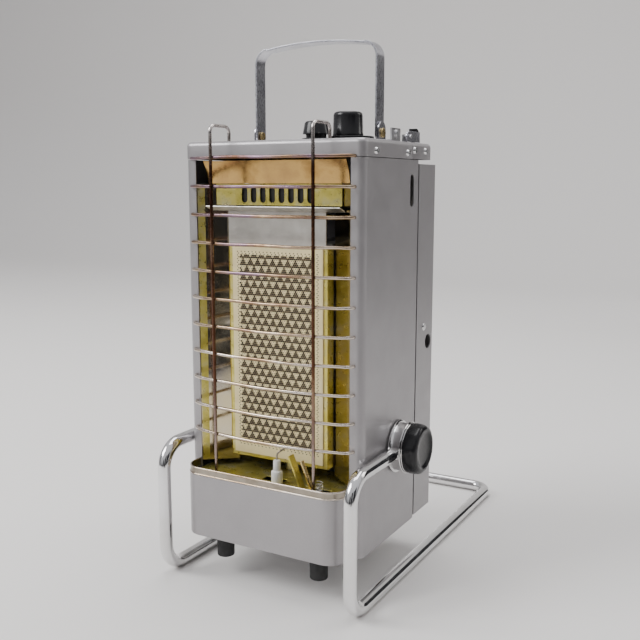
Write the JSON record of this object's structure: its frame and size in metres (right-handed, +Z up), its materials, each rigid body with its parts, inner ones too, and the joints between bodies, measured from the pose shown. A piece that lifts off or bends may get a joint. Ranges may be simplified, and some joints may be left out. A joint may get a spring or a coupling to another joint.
{
  "type": "portable gas heater",
  "caption": "Portable radiant gas heater with a wire-guarded ceramic burner, folding carry handle, rear canister bay and tilting tube stand.",
  "frame": {"origin": "on the floor, midway between the two sides of the stand and midway between its front uprights and its rear bar", "axes": "+Z up, the burner faces -Y, +X to the right of a person who stands in front and looks at it"},
  "size_m": [0.2348, 0.367, 0.489],
  "materials": {
    "silver_paint": "satin metallic silver paint",
    "zinc_sheet": "bright zinc-plated sheet",
    "heat_steel": "steel with a light heat tint",
    "yellow_zinc": "yellow passivated zinc",
    "screw_steel": "bright nickel-plated",
    "mirror_steel": "mirror-bright stainless sheet",
    "dull_steel": "matte stainless sheet",
    "ceramic": "unglazed cream ceramic",
    "white_ceramic": "glazed white ceramic",
    "brass_metal": "plain brass",
    "copper": "plain copper",
    "cast_alloy": "die-cast alloy",
    "black_plastic": "semi-gloss black phenolic",
    "cream_plastic": "moulded plastic",
    "guard_nickel": "nickel-plated wire with a heat tint",
    "guard_brown": "nickel-plated wire tinted brown by heat",
    "black_fibre": "black fibre",
    "black_rubber": "matte rubber",
    "strap_steel": "satin steel strap",
    "chrome_tube": "polished chrome",
    "browned_mirror": "mirror sheet browned by heat"
  },
  "bodies": {
    "casing": {"casing_shell": "silver_paint", "bottom_plate": "zinc_sheet", "base_panel": "silver_paint", "base_band": "heat_steel", "base_floor": "yellow_zinc", "top_cap": "silver_paint", "cap_screws": "screw_steel", "side_reflectors": "mirror_steel", "burner_box": "dull_steel", "ceramic_plaque": "ceramic", "plaque_frame": "yellow_zinc", "upper_plate": "dull_steel", "flue_ledge": "dull_steel", "slot_plate": "yellow_zinc", "top_reflector": "browned_mirror", "igniter_insulator": "white_ceramic", "igniter_electrode": "heat_steel", "sensor_bracket": "yellow_zinc", "sensor_rod": "brass_metal", "mixing_tube": "dull_steel", "gas_nozzle": "brass_metal", "gas_pipe": "copper", "gas_valve": "cast_alloy", "valve_plate": "black_plastic", "piezo_unit": "cream_plastic", "button_collar": "black_plastic", "canister_cradle": "zinc_sheet", "regulator": "cast_alloy", "guard_wires": "guard_nickel", "guard_uprights": "guard_brown", "handle_ears": "strap_steel", "handle_pins": "brass_metal", "lock_tab": "zinc_sheet", "clamp_bolts": "screw_steel", "clamp_washers": "black_fibre", "feet": "black_rubber", "door_hinge_pins": "zinc_sheet", "lid_hinges": "screw_steel"},
    "knob": {"control_knob": "black_plastic"},
    "button": {"igniter_button": "black_plastic"},
    "handle": {"carry_handle": "strap_steel"},
    "lid": {"rear_lid": "silver_paint", "lid_screws": "screw_steel", "lock_pin": "zinc_sheet", "lid_knuckles": "screw_steel"},
    "lever": {"lock_lever": "strap_steel", "lock_hook": "black_plastic"},
    "door": {"rear_door": "silver_paint", "door_studs": "screw_steel"},
    "stand": {"stand_tube": "chrome_tube", "stand_hubs": "chrome_tube"},
    "clamp_right": {"clamp_knob_right": "black_plastic"},
    "clamp_left": {"clamp_knob_left": "black_plastic"}
  },
  "joints": [
    {"name": "knob_turn", "type": "hinge", "parent": "casing", "child": "knob", "pos_m": [0.0465, -0.0895, 0.4], "axis": [0, 0, 1], "range_deg": [0, 150]},
    {"name": "button_press", "type": "slide", "parent": "casing", "child": "button", "axis": [0, 0, -1], "range_m": [0, 0.003], "stiffness_N_per_m": 900},
    {"name": "handle_fold", "type": "hinge", "parent": "casing", "child": "handle", "pos_m": [0, -0.061, 0.406], "axis": [1, 0, 0], "range_deg": [-90, 0]},
    {"name": "lid_open", "type": "hinge", "parent": "casing", "child": "lid", "pos_m": [0, -0.0493, 0.3997], "axis": [1, 0, 0], "range_deg": [0, 70]},
    {"name": "lever_lift", "type": "hinge", "parent": "lid", "child": "lever", "pos_m": [0.084, -0.045, 0.403], "axis": [1, 0, 0], "range_deg": [0, 60]},
    {"name": "door_swing", "type": "hinge", "parent": "casing", "child": "door", "pos_m": [0, -0.027, 0.049], "axis": [1, 0, 0], "range_deg": [-80, 0]},
    {"name": "stand_tilt", "type": "hinge", "parent": "casing", "child": "stand", "pos_m": [0, -0.0725, 0.1245], "axis": [1, 0, 0], "range_deg": [0, 40]},
    {"name": "clamp_right_turn", "type": "hinge", "parent": "casing", "child": "clamp_right", "pos_m": [0.1, -0.0725, 0.1245], "axis": [1, 0, 0], "continuous": true},
    {"name": "clamp_left_turn", "type": "hinge", "parent": "casing", "child": "clamp_left", "pos_m": [-0.1, -0.0725, 0.1245], "axis": [1, 0, 0], "continuous": true}
  ]
}
